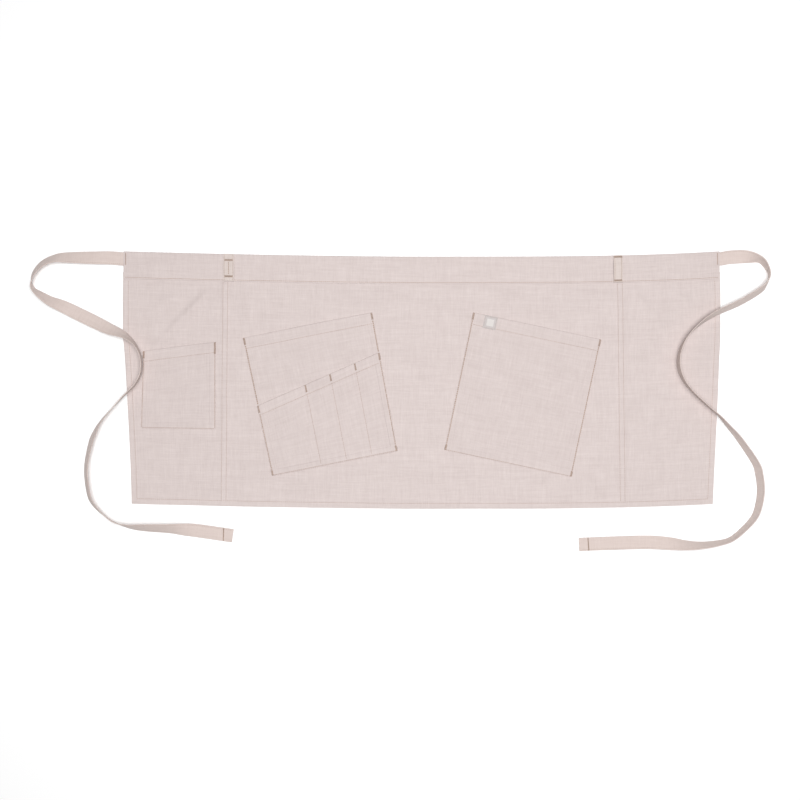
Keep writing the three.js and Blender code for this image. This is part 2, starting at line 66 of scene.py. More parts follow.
BAND_OVERLAP = 10.0         # how far the panels reach up inside the band
BAND_FOLD = 1.6             # radius of the fold along the band's top
BAND_STITCH = 2.0           # from the band's foot to its stitches
TIE_WIDTH, TIE_THICKNESS = 20.0, 1.2
TIE_ROOT = 14.0             # how much of a tie is inside the band
TIE_DROP = 11.4             # from the top of the band to the middle of the tie
TIE_END_STITCH = 14.0       # from a tie's free end to the tack across it
LOOP_EDGE_STITCH = 1.8
EDGE_STITCH = 1.3           # from a pocket's edge to its stitches
POCKET_TURNING = 8.0
PHONE_HEM, HAND_HEM, TOOL_HEM, SLOT_HEM = 16.5, 18.5, 17.5, 15.5  # down from each mouth
BAR = 11.0                  # bar tacks at the pockets and slots
FOOT_BAR = 0.7 * BAR
PHONE_RIGHT_BAR = 18.0
LOOP_BAR, TIE_BAR = 12.0, 18.0
BAR_WIDTH = 3.4
SLOT_WIDTH, SLOT_COUNT = 38.6, 3
POCKET_GAPE, SLOT_GAPE = 0.9, 0.7  # how far each mouth stands off between its sewn sides
LABEL, LABEL_FROM_LEFT = 19.5, 18.0
LABEL_BORDER = 4.4

STITCH_PITCH, THREAD_WIDTH = 3.0, 0.62  # coarser than sewn, so that they show
FINE_PITCH = 2.6
MESH_STEP = 3.0             # between points of a panel, and of the band along its length

PANEL_TOP = 2 * CLOTH + GAP
BAND_FRONT = CLOTH + 2 * GAP + TIE_THICKNESS
BAND_TOP = BAND_FRONT + CLOTH


def ends(node, axis):
    low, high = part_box(node)
    return low[axis] / MM, high[axis] / MM


BAND_HALF = ends("waistband", 0)[1]
HALF = ends("right_panel", 0)[1]
BOTTOM = ends("centre_panel", 1)[0] + BOW / 2
TOP = ends("waistband", 1)[1] - BOW * ((BAND_HALF / HALF) ** 2 - 0.5)
HEIGHT = TOP - BOTTOM
BAND_FOOT = TOP - BAND
LEFT_SEAM = ends("left_panel", 0)[1] + GAP / 2
RIGHT_SEAM = ends("right_panel", 0)[0] - GAP / 2

# ---- Camera --------------------------------------------------------------------------------------

CAMERA_PLACE = (-0.0323, -0.030, 1.5)  # straight above the apron and its ties, looking down

camera_data = bpy.data.cameras.new("overhead_camera")
camera_data.sensor_width = 36
camera_data.lens = 45
camera = bpy.data.objects.new("overhead_camera", camera_data)
camera.location = CAMERA_PLACE
bpy.context.scene.collection.objects.link(camera)
bpy.context.scene.camera = camera

# ---- Making meshes -------------------------------------------------------------------------------


def add_mesh(name, points, faces, uvs=None, smooth_angle=50):
    """A mesh from points in millimetres. uvs has one pair per point, in millimetres of cloth."""
    mesh = bpy.data.meshes.new(name)
    mesh.from_pydata((np.asarray(points, float) * MM).tolist(), [], faces)
    if uvs is not None:
        layer = mesh.uv_layers.new(name="thread_count")
        corner = np.empty(len(mesh.loops), dtype=np.int32)
        mesh.loops.foreach_get("vertex_index", corner)
        # one unit of the map is 100 mm of cloth
        layer.data.foreach_set("uv", (np.asarray(uvs, float)[corner] / 100).ravel())
    piece = bpy.data.objects.new(name, mesh)
    bpy.context.scene.collection.objects.link(piece)
    bpy.ops.object.select_all(action="DESELECT")
    piece.select_set(True)
    bpy.context.view_layer.objects.active = piece
    bpy.ops.object.shade_smooth_by_angle(angle=math.radians(smooth_angle))
    return piece


def finish_piece(piece, material, slot, *nodes):
    piece.data.materials.append(material)
    if nodes:
        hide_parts(*nodes)
    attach(piece, "root")
    return piece


def distances(path):
    """How far along a path each of its points is."""
    return np.concatenate([[0], np.cumsum(np.linalg.norm(np.diff(path, axis=0), axis=1))])


def unit(vectors):
    return vectors / np.linalg.norm(vectors, axis=1, keepdims=True)


def loft_faces(rings, size, turned=False):
    """Faces of a closed tube of rings with size points each, capped at both ends."""
    faces = []
    for k in range(rings - 1):
        for i in range(size):
            j = (i + 1) % size
            faces.append((k * size + i, (k + 1) * size + i, (k + 1) * size + j, k * size + j))
    faces.append(tuple(range(size)))
    faces.append(tuple((rings - 1) * size + i for i in reversed(range(size))))
    return [face[:1] + face[:0:-1] for face in faces] if turned else faces


def grid_faces(across, up):
    """Faces of a closed sheet of across x up points, its top points first and then its bottom."""
    def at(i, j, under=0):
        return under * across * up + j * across + i
    faces = []
    for j in range(up - 1):
        for i in range(across - 1):
            faces.append((at(i, j), at(i + 1, j), at(i + 1, j + 1), at(i, j + 1)))
            faces.append((at(i, j + 1, 1), at(i + 1, j + 1, 1), at(i + 1, j, 1), at(i, j, 1)))
    rim = [(i, 0) for i in range(across - 1)] + [(across - 1, j) for j in range(up - 1)]
    rim += [(i, up - 1) for i in range(across - 1, 0, -1)] + [(0, j) for j in range(up - 1, 0, -1)]
    for here, there in zip(rim, rim[1:] + rim[:1]):
        faces.append((at(*here), at(*here, 1), at(*there, 1), at(*there)))
    return faces


def sheet(name, columns, rows, place, top, bottom, measure):
    """A closed sheet of cloth. place gives its plan, top and bottom its heights, and measure where
    each point is on the cut cloth, so that the weave follows the piece."""
    a, b = np.meshgrid(columns, rows)
    a, b = a.ravel(), b.ravel()
    x, y = place(a, b)
    high, low = top(a, b), bottom(a, b)
    points = np.vstack([np.column_stack([x, y, high]), np.column_stack([x, y, low])])
    u, v = measure(a, b)
    uvs = np.tile(np.column_stack([u, v]), (2, 1))
    return add_mesh(name, points, grid_faces(len(columns), len(rows)), uvs)


def stations(low, high, step, close=()):
    """Even stations, with finer ones from half a millimetre round each place in close."""
    found = set(np.linspace(low, high, max(2, round((high - low) / step) + 1)).round(3))
    for place in close:
        for away in (0, 0.5, 1.0, 1.6, 2.4, 3.6):
            for value in (place - away, place + away):
                if low < value < high:
                    found.add(round(value, 3))
    kept = [low]
    for value in sorted(found):
        if value - kept[-1] > 0.3 and high - value > 0.3:
            kept.append(value)
    return np.array(kept + [high])


# ---- How the cloth lies --------------------------------------------------------------------------

rng = np.random.default_rng(7)


def wave_set(count, length, spread):
    """Directions, lengths and phases of a few long waves, to be summed."""
    turn = rng.uniform(0, math.pi, count)
    size = length * rng.uniform(1 - spread, 1 + spread, count)
    return turn, size, rng.uniform(0, 2 * math.pi, count)


LONG_WAVES = wave_set(7, 150, 0.35)
SHORT_WAVES = wave_set(9, 46, 0.4)

# Soft creases: where each is, which way it runs (radians), how high, how wide and how long it is.
CREASES = [
    (-362, 88, 0.83, 2.4, 5, 48), (-338, 108, 0.95, 1.8, 6, 40), (-388, 112, 0.6, 1.4, 7, 30),
    (-372, 60, 0.75, 1.2, 5, 30), (330, 118, -0.9, 1.8, 6, 38), (392, 120, -0.75, 1.8, 6, 30),
    (352, 40, -1.3, 1.0, 8, 60), (262, 118, 1.1, 1.2, 7, 30), (-258, 88, -1.1, 1.1, 7, 32),
    (-270, 10, 0.7, 1.0, 6, 34), (20, 110, -1.2, 0.9, 8, 40), (-330, -120, 0.15, 0.8, 6, 50),
]


def waves(chosen, x, y):
    total = 0
    for turn, size, phase in zip(*chosen):
        along = x * math.cos(turn) + y * math.sin(turn)
        total = total + np.sin(along * 2 * math.pi / size + phase)
    return total / len(chosen[0])


def soft_step(value, start, end):
    """0 before start, 1 after end, and a smooth rise between."""
    share = np.clip((value - start) / (end - start), 0, 1)
    return share * share * (3 - 2 * share)


def ridge(away, width):
    """1 at a line, and nearly 0 two widths away from it."""
    return np.exp(-((away / width) ** 2))


def lie(x, y):
    """How far the linen lifts off where it would lie quite flat: slack waves, and a faint press
    crease that runs down across the left panel. It is nothing at the waistband."""
    slack = 1.1 + 1.5 * waves(LONG_WAVES, x, y) + 0.6 * waves(SHORT_WAVES, x, y)
    crease = 0
    for cx, cy, turn, high, wide, long in CREASES:
        along = (x - cx) * math.cos(turn) + (y - cy) * math.sin(turn)
        aside = (y - cy) * math.cos(turn) - (x - cx) * math.sin(turn)
        crease = crease + high * ridge(aside, wide) * ridge(along, long)
    below_band = soft_step(BAND_FOOT - y, 2, 30)
    return np.maximum(0, slack + crease) * below_band


def bowed(x, y):
    """Where a point of the cut cloth comes to lie: the apron's ends are swept up a little, the left
    one from the middle on and the right one only near its end."""
    out = np.abs(x) / HALF
    return x, y + BOW * (np.where(x < 0, out ** LEFT_BOW_POWER, out ** RIGHT_BOW_POWER) - 0.5)


def pucker(along):
    """Little gathers that a line of stitches makes."""
    return (0.5 + 0.3 * np.sin(along * 2 * math.pi / 8.7)
            + 0.2 * np.sin(along * 2 * math.pi / 5.9 + 1))


def sewn_groove(away, along, depth=0.3):
    """How far a line of stitches, away from a point, pulls the cloth down there."""
    return -depth * pucker(along) * ridge(away, 0.9)


def turned_edge(away, depth, lift):
    """The extra height where cloth is turned under, up to depth from an edge that is rounded."""
    return lift * (1 - soft_step(away, depth, depth + 1.2)) - lift * 0.6 * ridge(away, 0.7)


# ---- Materials -----------------------------------------------------------------------------------


def linear(code):
    """A colour from its sRGB hex code to linear red, green, blue and alpha."""
    parts = [int(code[i:i + 2], 16) / 255 for i in (1, 3, 5)]
    return [p / 12.92 if p <= 0.04045 else ((p + 0.055) / 1.055) ** 2.4 for p in parts] + [1]


def add(tree, kind, inputs=(), **settings):
    """Adds a node with its settings. Each input is a value, or a socket to link from."""
    node = tree.nodes.new(kind)
    for key, value in settings.items():
        setattr(node, key, value)
    for key, value in dict(inputs).items():
        if isinstance(value, bpy.types.NodeSocket):
            tree.links.new(value, node.inputs[key])
        else:
            node.inputs[key].default_value = value
    return node


def reckon(tree, operation, *values):
    """The result of a math node."""
    return add(tree, "ShaderNodeMath", dict(enumerate(values)), operation=operation).outputs[0]


def new_material(name):
    """A node material, with its tree and its shader."""
    material = bpy.data.materials.new(name)
    material.use_nodes = True
    tree = material.node_tree
    return material, tree, tree.nodes["Principled BSDF"]


def shade(tree, shader, share, light, dark, height, strength, depth, rough, sheen):
    """Mixes the two colours by share, and adds a bump of height, depth metres deep."""
    colour = add(tree, "ShaderNodeMix", {"Factor": share, 6: linear(dark), 7: linear(light)},
                 data_type="RGBA")
    bump = add(tree, "ShaderNodeBump", {"Height": height, "Strength": strength, "Distance": depth})
    tree.links.new(colour.outputs[2], shader.inputs["Base Color"])
    tree.links.new(bump.outputs["Normal"], shader.inputs["Normal"])
    shader.inputs["Roughness"].default_value = rough
    shader.inputs["Sheen Weight"].default_value = sheen


# The slubs of the two yarns, fine, broad and single: width and length in millimetres, and a start.
# Real yarns are 0.4 mm wide, which is too fine to show, so the fine slubs are drawn as coarse as
# they need to show.
SLUBS = ((1.7, 30, 3.1), (32, 1.6, 8.4), (5.5, 80, 5.2), (80, 5.0, 6.7),
         (0.8, 9, 1.7), (9, 0.8, 4.9))
SLUB_MIDDLE = 2.55          # the middle of all the noises' sum, as they are weighed below


def woven(name, light_yarn, dark_yarn, slub, spacing, rough=0.92, sheen=0.12):
    """Plain weave of a pale and a darker yarn. Slubs run along both yarns, uneven in width, and the
    cloth is mottled where the dye took less. spacing is from yarn to yarn in millimetres."""
    material, tree, shader = new_material(name)
    uv = add(tree, "ShaderNodeTexCoord").outputs["UV"]
    cloth = add(tree, "ShaderNodeMapping", {"Vector": uv, "Scale": (100, 100, 1)}).outputs["Vector"]
    yarns = []
    for across, along, seed in SLUBS:
        stretched = add(tree, "ShaderNodeMapping", {
            "Vector": cloth, "Location": (seed, seed, seed), "Scale": (1 / across, 1 / along, 1)})
        yarns.append(add(tree, "ShaderNodeTexNoise", {
            "Vector": stretched.outputs["Vector"], "Scale": 1.0, "Detail": 2.0,
            "Roughness": 0.55}).outputs["Fac"])
    fine, broad, single = [reckon(tree, "ADD", *yarns[k:k + 2]) for k in (0, 2, 4)]
    both = reckon(tree, "MULTIPLY_ADD", broad, 0.5, fine)
    both = reckon(tree, "MULTIPLY_ADD", single, 0.8, both)
    mottle = add(tree, "ShaderNodeTexNoise", {
        "Vector": cloth, "Scale": 0.035, "Detail": 3.0, "Roughness": 0.6}).outputs["Fac"]
    mixed = reckon(tree, "MULTIPLY_ADD", mottle, 0.5, both)
    share = add(tree, "ShaderNodeMapRange", {
        "Value": mixed, "From Min": SLUB_MIDDLE - 0.75 / slub,
        "From Max": SLUB_MIDDLE + 0.75 / slub, "To Min": 0.0, "To Max": 1.0}).outputs["Result"]
    # over and under: the two yarns' waves multiplied
    split = add(tree, "ShaderNodeSeparateXYZ", {"Vector": cloth})
    crossings = []
    for axis in ("X", "Y"):
        turned = reckon(tree, "MULTIPLY", split.outputs[axis], math.pi / spacing)
        crossings.append(reckon(tree, "SINE", turned))
    height = reckon(tree, "MULTIPLY_ADD", reckon(tree, "MULTIPLY", *crossings), 0.3, single)
    shade(tree, shader, share, light_yarn, dark_yarn, height, 0.35, 0.0003, rough, sheen)
    shader.inputs["Specular IOR Level"].default_value = 0.25
    shader.inputs["Sheen Roughness"].default_value = 0.5
    return material


def spun_thread(name, light, dark):
    """Polyester-wrapped sewing thread: two plies twist round each other and catch a soft shine."""
    material, tree, shader = new_material(name)
    place = add(tree, "ShaderNodeTexCoord").outputs["Object"]
    twist = add(tree, "ShaderNodeTexWave", {
        "Vector": place, "Scale": 520.0, "Distortion": 1.2, "Detail": 1.0},
        bands_direction="DIAGONAL").outputs["Fac"]
    patchy = add(tree, "ShaderNodeTexNoise", {
        "Vector": place, "Scale": 60.0, "Detail": 2.0}).outputs["Fac"]
    share = reckon(tree, "MULTIPLY_ADD", twist, 0.5, patchy)
    shade(tree, shader, share, light, dark, twist, 0.4, 0.0001, 0.6, 0.1)
    return material


# Unbleached linen and cotton mix, plain-woven and washed once: matt, slubby and faintly pink.
linen = woven("washed_linen", "#d6cac7", "#c1b4b1", 1.0, 0.9)
# The pockets are cut from the same cloth, from a part of it that took a shade more dye.
pocket_linen = woven("pocket_linen", "#d4c8c5", "#c0b3b0", 1.0, 0.9)
# The belt loops are folded from a strip that took the dye less, so they are a little yellower.
loop_linen = woven("belt_loop_linen", "#d7cbc6", "#c2b5af", 1.0, 0.9)
# The ties are the same linen folded into a strip and pressed, so it is closer and smoother.
tie_linen = woven("pressed_tie_linen", "#d8cac4", "#c7b7b1", 0.9, 0.8, rough=0.88)
# Damask label cloth: fine polyester weave, grey, with a smoother face.
label_cloth = woven("damask_label", "#cbc4c2", "#b3abaa", 0.5, 0.4, rough=0.7, sheen=0.05)
label_centre = woven("damask_label_centre", "#d9d4d1", "#cac4c1", 0.5, 0.4, rough=0.65, sheen=0.05)
# Non-woven stiffener: pressed fibres with no direction, off-white.
stiffener = woven("fused_stiffener", "#ece8e2", "#d8d3cb", 0.7, 1.6)
# Tan topstitching thread, and the same in a pale shade along the seams and hems.
topstitch = spun_thread("tan_topstitch_thread", "#b39a8a", "#8c7465")
seam_thread = spun_thread("pale_seam_thread", "#bba79d", "#98847a")
# Greyish brown thread, packed close in the bar tacks.
tack_thread = spun_thread("brown_tack_thread", "#ae978a", "#88756a")

# ---- Threads -------------------------------------------------------------------------------------

bpy.ops.object.select_all(action="DESELECT")
bpy.ops.mesh.primitive_cylinder_add(vertices=6, radius=0.5, depth=1, end_fill_type="TRIFAN",
                                    location=(0, 0, 0), rotation=(0, math.pi / 2, 0))
stitch = bpy.context.object
bpy.ops.object.transform_apply(location=False, rotation=True, scale=False)
bpy.ops.object.mode_set(mode="EDIT")
for cut_at in (-0.3, 0.3):
    bpy.ops.mesh.select_all(action="SELECT")
    bpy.ops.mesh.bisect(plane_co=(cut_at, 0, 0), plane_no=(1, 0, 0))
bpy.ops.object.mode_set(mode="OBJECT")
STITCH_POINTS = np.array([v.co[:] for v in stitch.data.vertices])
STITCH_FACES = [tuple(face.vertices) for face in stitch.data.polygons]
bpy.data.objects.remove(stitch, do_unlink=True)
# beyond the two cuts, its ends grow thinner and dip into the cloth
tip = np.clip((np.abs(STITCH_POINTS[:, 0]) - 0.3) / 0.2, 0, 1)
STITCH_POINTS[:, 1] *= 1 - 0.45 * tip
STITCH_POINTS[:, 2] = STITCH_POINTS[:, 2] * (1 - 0.45 * tip) - 0.45 * tip


def lay_stitches(name, middles, alongs, asides, ups, size):
    """Copies of the one stitch, at each middle, joined as one piece. size is the stitch's length,
    width and height, and alongs, asides and ups are their directions."""
    points = middles[:, None, :]
    for k, directions in enumerate((alongs, asides, ups)):
        points = points + STITCH_POINTS[None, :, k:k + 1] * size[k] * directions[:, None, :]
    count = len(STITCH_POINTS)
    faces = [tuple(corner + k * count for corner in face)
             for k in range(len(middles)) for face in STITCH_FACES]
    return add_mesh(name, points.reshape(-1, 3), faces)


def lay_level_stitches(name, middles, alongs, size):
    """Stitches along the given directions, with no turn about their own length."""
    alongs = unit(alongs)
    asides = unit(np.cross([0, 0, 1], alongs))
    return lay_stitches(name, middles, alongs, asides, np.cross(alongs, asides), size)


def walk(path, pitch, start=0.0, stop=0.0):
    """Middles and directions at every pitch along a path of close points."""
    path = np.asarray(path, float)
    gone = distances(path)
    count = max(1, int((gone[-1] - start - stop) / pitch))
    spare = (gone[-1] - start - stop - count * pitch) / 2
    where = start + spare + pitch * (np.arange(count) + 0.5)

    def pick(at):
        return np.column_stack([np.interp(at, gone, path[:, k]) for k in range(3)])

    return pick(where), pick(where + pitch / 3) - pick(where - pitch / 3)


def stitch_row(name, path, material=topstitch, nodes=(), pitch=STITCH_PITCH, width=THREAD_WIDTH):
    """A line of lockstitches along a path that runs on the face of the cloth."""
    middles, alongs = walk(path, pitch)
    sway = rng.normal(0, 0.05, len(middles))
    ahead, aside, rise = unit(alongs).T
    alongs = np.column_stack([ahead - sway * aside, aside + sway * ahead, rise])
    row = lay_level_stitches(name, middles, alongs, (pitch * 0.86, width, width * 0.8))
    return finish_piece(row, material, "top_thread", *nodes)


def bar_tack(name, start, end, nodes, width=BAR_WIDTH, material=tack_thread):
    """A dense zigzag of thread from start to end, a little above the cloth's face."""
    start, end = np.asarray(start, float), np.asarray(end, float)
    middles = walk([start, end], 0.52)[0]
    ahead = (end - start) / np.linalg.norm(end - start)
    aside = np.cross([0, 0, 1], ahead)
    lean = np.where(np.arange(len(middles)) % 2, 1, -1)[:, None] * 0.22
    crossing = aside[None, :] + lean * ahead[None, :]
    tack = lay_level_stitches(name, middles + np.array([0, 0, 0.3]), crossing, (width, 0.66, 0.6))
    return finish_piece(tack, material, "tack_thread", *nodes)


# ---- Ties ----------------------------------------------------------------------------------------

# From where each tie leaves the band: how far beyond the band's end, how far up, the roll in
# degrees (0 lies flat, 90 stands on edge) and the height of what it lies on. As in the part.
LEFT_TIE = [
    (21, 1.5, 4, 0.7), (44, 1.5, 14, 0.3), (89, 1.5, 36, 0.1), (104, -0.5, 48, 0.1),
    (117, -6, 51, 0.1), (127, -14.5, 54, 0.1), (133.5, -24.5, 60, 0.1), (135.5, -33.5, 70, 0.1),
    (134, -43, 88, 0.1), (126.5, -51, 108, 0.1), (110, -62.5, 130, 0.1), (89, -72, 154, 0.1),
    (66, -83.5, 166, 0.4), (44, -94, 164, 1.6), (21, -105, 146, 2.8), (4, -111.5, 126, 3.1),
    (-9, -119, 106, 3.1), (-20, -130, 90, 3.1), (-27, -144, 84, 3.1),
    (-29, -159, 82, 3.1), (-27, -174, 82, 3.1), (-20, -187.5, 84, 3.1), (-9, -199, 84, 3.1),
    (3, -211, 82, 2.6), (30, -241, 72, 0.5), (41, -259.5, 60, 0.1), (48, -277.5, 57, 0.1),
    (54.5, -313.5, 60, 0.1), (51, -349, 60, 0.1), (43.5, -367, 64, 0.1),
    (26, -384.5, 74, 0.1), (10.5, -394.5, 80, 0.1), (-9, -400, 68, 0.1), (-31, -402, 54, 0.1),
    (-69, -403.5, 42, 0.1), (-88, -405, 24, 0.1), (-108, -407, 6, 0.1), (-136, -411, 0, 0.1),
    (-163, -415, 0, 0.1),
]
RIGHT_TIE = [
    (17, 2.5, 4, 0.7), (39, 2.5, 30, 0.2), (58.5, -2.5, 74, 0.1), (66.5, -10.5, 88, 0.1),
    (71.5, -20.5, 98, 0.1), (72, -29.5, 104, 0.1), (68, -38.5, 110, 0.1), (60, -47, 118, 0.1),
    (32, -64, 118, 0.5), (3, -77, 114, 2.6), (-10, -83.5, 112, 3.1), (-24, -92, 108, 3.1),
    (-40, -105, 102, 3.1), (-53, -120, 98, 3.1), (-61, -136.5, 94, 3.1), (-64, -151.5, 92, 3.1),
    (-62.5, -166.5, 92, 3.1), (-55.5, -183, 94, 3.1), (-43.5, -198, 96, 3.1),
    (-29, -212, 96, 3.1), (-15, -224.5, 96, 3.1), (-2, -236, 94, 2.8), (10.5, -250, 88, 1.6),
    (27, -269, 80, 0.5), (51.5, -305, 76, 0.1), (57, -322.5, 76, 0.1), (59.5, -343.5, 78, 0.1),
    (57.5, -363.5, 80, 0.1), (51, -384, 82, 0.1), (37, -401, 84, 0.1), (16, -418.5, 84, 0.1),
    (-6, -425, 76, 0.1), (-29, -428, 66, 0.1), (-52, -428, 50, 0.1), (-74, -426, 28, 0.1),
    (-111, -424.5, 8, 0.1), (-186, -427, 0, 0.1), (-210, -428, 0, 0.1),
]


STEPS_PER_STOP = 6
TIE_EDGE_ROW = 0.8          # the row of edge stitches, as a share of half the tie's width


def tie_stops(route, sign):
    """A tie's whole route, from inside the band: place, height of its lower edge, and roll."""
    exit_x, exit_y = bowed(sign * BAND_HALF, TOP - TIE_DROP)
    stops = [(-TIE_ROOT, 0, 0, CLOTH + GAP), (0, 0, 0, CLOTH + GAP)] + route
    return np.array([(exit_x + sign * out, exit_y + up, height, roll)
                     for out, up, roll, height in stops])


def through_stops(stops, per_stop):
    """A smooth uniform course through stops, with per_stop steps between two of them."""
    ends_added = np.vstack([2 * stops[0] - stops[1], stops, 2 * stops[-1] - stops[-2]])
    course = []
    for k in range(len(stops) - 1):
        p0, p1, p2, p3 = ends_added[k:k + 4]
        for t in np.arange(per_stop) / per_stop:
            course.append(0.5 * (2 * p1 + (p2 - p0) * t + (2 * p0 - 5 * p1 + 4 * p2 - p3) * t ** 2
                                 + (3 * p1 - p0 - 3 * p2 + p3) * t ** 3))
    return np.array(course + [stops[-1]])


def tie_frames(course):
    """Centres, and the directions across and through the tie at each of them."""
    roll = np.radians(course[:, 3])
    sin, cos = np.sin(roll)[:, None], np.cos(roll)[:, None]
    centres = course[:, :3].copy()
    centres[:, 2] += (np.abs(sin[:, 0]) * TIE_WIDTH + np.abs(cos[:, 0]) * TIE_THICKNESS) / 2
    ahead = np.gradient(centres, axis=0)
    aside = np.column_stack([-ahead[:, 1], ahead[:, 0], np.zeros(len(ahead))])
    aside /= np.linalg.norm(aside, axis=1, keepdims=True)
    up = np.array([0, 0, 1.0])
    return centres, aside * cos + up * sin, up * cos - aside * sin


def tie_section():
    """Half the outline of a folded and pressed strip, with a groove along its line of stitches:
    places across it, and how far its face is from its middle at each."""
    across = np.array([0, 0.4, 0.74, 0.8, 0.86, 0.95, 0.985, 1])
    thick = np.array([0.46, 0.5, 0.56, 0.44, 0.56, 0.5, 0.32, 0.05])
    both_sides = np.concatenate([-across[:0:-1], across])
    return both_sides * TIE_WIDTH / 2, np.concatenate([thick[:0:-1], thick]) * TIE_THICKNESS


def tie_strip(side, centres, across, through):
    offset, thick = tie_section()
    ring_offset = np.concatenate([offset, offset[-2:0:-1]])
    ring_thick = np.concatenate([-thick, thick[-2:0:-1]])
    points = (centres[:, None, :] + ring_offset[None, :, None] * across[:, None, :]
              + ring_thick[None, :, None] * through[:, None, :])
    count, size = len(centres), len(ring_offset)
    uvs = np.column_stack([np.repeat(distances(centres), size),
                           np.tile(ring_offset + ring_thick, count)])
    tie = add_mesh(f"{side}_tie_strip", points.reshape(-1, 3), loft_faces(count, size), uvs, 60)
    return finish_piece(tie, tie_linen, "tie_tape", f"{side}_tie")


def tie_edge_row(side, centres, across, through):
    """The line of stitches that closes the folded strip, along one long edge, on both faces."""
    rows = []
    for face in (1, -1):
        line = (centres + across * TIE_EDGE_ROW * TIE_WIDTH / 2
                + through * face * 0.47 * TIE_THICKNESS)
        middles, alongs = walk(line, STITCH_PITCH, 4, 3)
        shares, stops = np.linspace(0, 1, len(middles)), np.linspace(0, 1, len(centres))
        normals = np.column_stack([np.interp(shares, stops, through[:, k]) for k in range(3)])
        rows.append((middles, unit(alongs), normals * face))
    middles, alongs, ups = (np.vstack(parts) for parts in zip(*rows))
    row = lay_stitches(f"{side}_tie_edge_stitches", middles, alongs, np.cross(ups, alongs), ups,
                       (2.5, 0.5, 0.35))
    return finish_piece(row, seam_thread, "top_thread")


def tie_end_tack(side, centres):
    """The tack across the folded end of a tie. The left one is sewn more aslant."""
    back = (centres[-2] - centres[-1]) * [1, 1, 0]
    back = back / np.linalg.norm(back)
    seam = centres[-1] + back * TIE_END_STITCH
    seam[2] = TIE_THICKNESS + 0.1
    aside = np.array([-back[1], back[0], 0]) * (TIE_WIDTH / 2 - 0.3)
    slant = back * (1.2 if side == "left" else 0.3)
    return bar_tack(f"{side}_tie_end_tack", seam - aside + slant, seam + aside - slant,
                    [f"{side}_tie_end_stitch"], 1.9)


def make_tie(side, route, sign):
    centres, across, through = tie_frames(through_stops(tie_stops(route, sign), STEPS_PER_STOP))
    tie = tie_strip(side, centres, across, through)
    on_tie = [tie_edge_row(side, centres, across, through), tie_end_tack(side, centres)]
    path = centres * MM
    exit_point = path[int(np.argmin(np.abs(centres[:, 0] - sign * BAND_HALF)[:20]))]
    tuple(exit_point)
    float(distances(centres)[-1] * MM)


make_tie("left", LEFT_TIE, -1)
make_tie("right", RIGHT_TIE, 1)

# ---- Panels --------------------------------------------------------------------------------------


def side_edge(y, left=False):
    """How far out the apron's side is. The left side draws in sooner, and a little more."""
    share = np.maximum(0, (BOTTOM + TAPER_HEIGHT - y) / TAPER_HEIGHT)
    return HALF - np.where(left, LEFT_TAPER * share ** LEFT_TAPER_POWER, RIGHT_TAPER * share)


def left_seam(y):
    return LEFT_SEAM - LEFT_LEAN * (TOP - y) / HEIGHT


def right_seam(y):
    return RIGHT_SEAM + RIGHT_LEAN * (TOP - y) / HEIGHT


def panel_face(x, y):
    """Height of the panels' upper face over the cut cloth, turnings and grooves included."""
    height = PANEL_TOP + lie(x, y)
    from_side = side_edge(y, x < 0) - np.abs(x)
    from_foot = y - BOTTOM
    free = soft_step(BAND_FOOT - y, 0, 4)
    hems = [turned_edge(away, HEM, 0.5) for away in (from_side, from_foot)]
    height = height + free * np.maximum(*hems)
    height = height + free * sewn_groove(from_side - HEM_STITCH, y)
    height = height + sewn_groove(from_foot - HEM_STITCH, x)
    for seam, inwards in ((left_seam(y), 1), (right_seam(y), -1)):
        away = (x - seam) * inwards
        flap_end = soft_step(away, SEAM_ALLOWANCE - 0.9, SEAM_ALLOWANCE)
        flap = soft_step(away, -0.3, 0.5) * (1 - flap_end)
        height = height + free * 0.8 * flap
        for line in SEAM_STITCHES:
            height = height + free * sewn_groove(away - line, y, 0.35)
    return height


def panel_back(x, y, top):
    """Height of the panels' underside: the turnings reach down to the surface they lie on."""
    from_side = side_edge(y, x < 0) - np.abs(x)
    from_foot = y - BOTTOM
    seam_flap = np.minimum(np.abs(x - left_seam(y) - SEAM_ALLOWANCE / 2),
                           np.abs(x - right_seam(y) + SEAM_ALLOWANCE / 2)) - SEAM_ALLOWANCE / 2
    nearest = np.minimum(np.minimum(from_side, from_foot), seam_flap)
    turned = (1 - soft_step(nearest, HEM - 0.6, HEM)) * soft_step(BAND_FOOT - y, 0.3, 1)
    turned = np.where(seam_flap < nearest + 1e-6, (1 - soft_step(seam_flap, -0.6, 0)), turned)
    turned = turned * soft_step(BAND_FOOT - y, 0.3, 1)
    plain = top - CLOTH
    return plain * (1 - turned) + 0.05 * turned


def make_panel(side, left, right, close):
    """A panel between two upright edges. close is how far its stitch lines are from the left."""
    middle = (BOTTOM + BAND_FOOT) / 2
    width = float(right(middle) - left(middle))
    columns = stations(0, width, MESH_STEP, close) / width
    rows = stations(BOTTOM, BAND_FOOT + BAND_OVERLAP, MESH_STEP,
                    (BOTTOM + HEM_STITCH, BOTTOM + HEM + 0.6, BAND_FOOT))

    def cut(a, y):
        return left(y) + (right(y) - left(y)) * a, y

    def top(a, y):
        x = cut(a, y)[0]
        edge = (a <= 0) | (a >= 1) | (y <= BOTTOM)
        inside_band = soft_step(y, BAND_FOOT - 1, BAND_FOOT + 1)
        return (panel_face(x, y) - 0.15 * edge) * (1 - inside_band) + PANEL_TOP * inside_band

    def bottom(a, y):
        x = cut(a, y)[0]
        return panel_back(x, y, top(a, y))

    def place(a, y):
        return bowed(*cut(a, y))

    piece = sheet(f"{side}_panel_linen", columns, rows, place, top, bottom, cut)
    finish_piece(piece, linen, "linen", f"{side}_panel")


